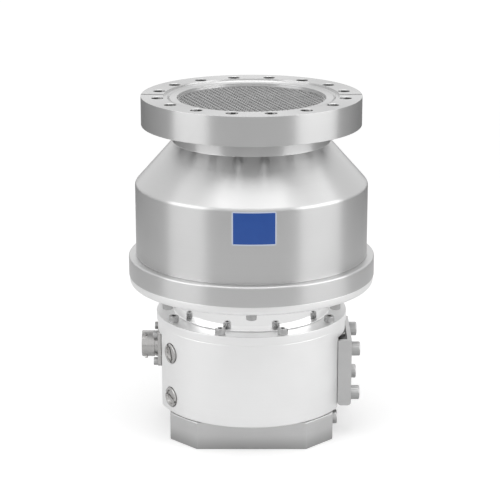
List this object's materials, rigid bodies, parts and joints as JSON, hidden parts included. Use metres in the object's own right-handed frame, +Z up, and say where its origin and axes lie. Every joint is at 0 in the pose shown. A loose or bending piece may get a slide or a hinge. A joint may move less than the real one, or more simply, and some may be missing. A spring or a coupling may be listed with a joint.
{
  "type": "turbomolecular pump",
  "caption": "Turbomolecular vacuum pump with a metal-sealed round inlet flange, a screened throat, a freely spinning bladed rotor, a waisted aluminium base and a side exhaust.",
  "frame": {"origin": "centre of the foot's underside, on the rotor's axis", "axes": "+Z up the rotor axis, out of the inlet flange; -Y towards the front; the exhaust leaves along +Y, the connector is at -X and the side cover at +X"},
  "size_m": [0.172, 0.184, 0.238],
  "materials": {
    "turned_steel": "turned, satin",
    "screen_steel": "woven wire",
    "blade_aluminium": "milled",
    "ring_aluminium": "turned",
    "base_aluminium": "fine blasted, bright",
    "foot_aluminium": "milled",
    "seal_rubber": "matt",
    "screw_steel": "bright",
    "plug_nickel": "nickel plated",
    "pin_gold": "gold plated",
    "black_insulator": "moulded",
    "cover_metal": "satin",
    "port_steel": "turned",
    "lamination_iron": "stacked laminations",
    "winding_copper": "enamelled copper wire, resin dipped",
    "sensor_resin": "cast resin",
    "bearing_steel": "ground",
    "shaft_steel": "ground"
  },
  "bodies": {
    "root": {"inlet_casing": "turned_steel", "inlet_screen": "screen_steel", "screen_ring": "screen_steel", "stator_disc_1": "blade_aluminium", "stator_disc_2": "blade_aluminium", "stator_disc_3": "blade_aluminium", "stator_disc_4": "blade_aluminium", "spacer_ring_1": "ring_aluminium", "spacer_ring_2": "ring_aluminium", "spacer_ring_3": "ring_aluminium", "spacer_ring_4": "ring_aluminium", "base_neck": "base_aluminium", "casing_seal": "seal_rubber", "casing_screws": "screw_steel", "neck_screws": "screw_steel", "drag_sleeve": "ring_aluminium", "base_housing": "base_aluminium", "neck_seal": "seal_rubber", "foot_block": "foot_aluminium", "foot_seal": "seal_rubber", "foot_screws": "screw_steel", "vent_plug": "screw_steel", "bearing_column": "ring_aluminium", "column_screws": "screw_steel", "lower_radial_magnet": "lamination_iron", "upper_radial_magnet": "lamination_iron", "motor_stator": "lamination_iron", "motor_windings": "winding_copper", "lower_sensor": "sensor_resin", "upper_sensor": "sensor_resin", "upper_inner_race": "bearing_steel", "upper_outer_race": "bearing_steel", "upper_bearing_balls": "bearing_steel", "lower_inner_race": "bearing_steel", "lower_outer_race": "bearing_steel", "lower_bearing_balls": "bearing_steel", "lower_axial_magnet": "lamination_iron", "upper_axial_magnet": "lamination_iron", "connector_gasket": "seal_rubber", "connector_shell": "plug_nickel", "connector_insert": "black_insulator", "connector_pins": "pin_gold", "connector_screws": "screw_steel", "cooling_plugs": "plug_nickel", "side_cover": "cover_metal", "cover_insert": "black_insulator", "insert_screw": "screw_steel", "side_cover_screws": "screw_steel", "exhaust_port": "port_steel", "exhaust_screws": "screw_steel"},
    "rotor": {"bladed_rotor": "blade_aluminium", "rotor_shaft": "shaft_steel", "rotor_screws": "screw_steel", "lower_magnet_sleeve": "shaft_steel", "motor_magnet": "shaft_steel", "upper_magnet_sleeve": "shaft_steel", "thrust_disc": "shaft_steel", "shaft_nut": "shaft_steel"}
  },
  "joints": [
    {"name": "rotor_spin", "type": "hinge", "parent": "root", "child": "rotor", "pos_m": [0, 0, 0.12], "axis": [0, 0, 1], "continuous": true}
  ]
}
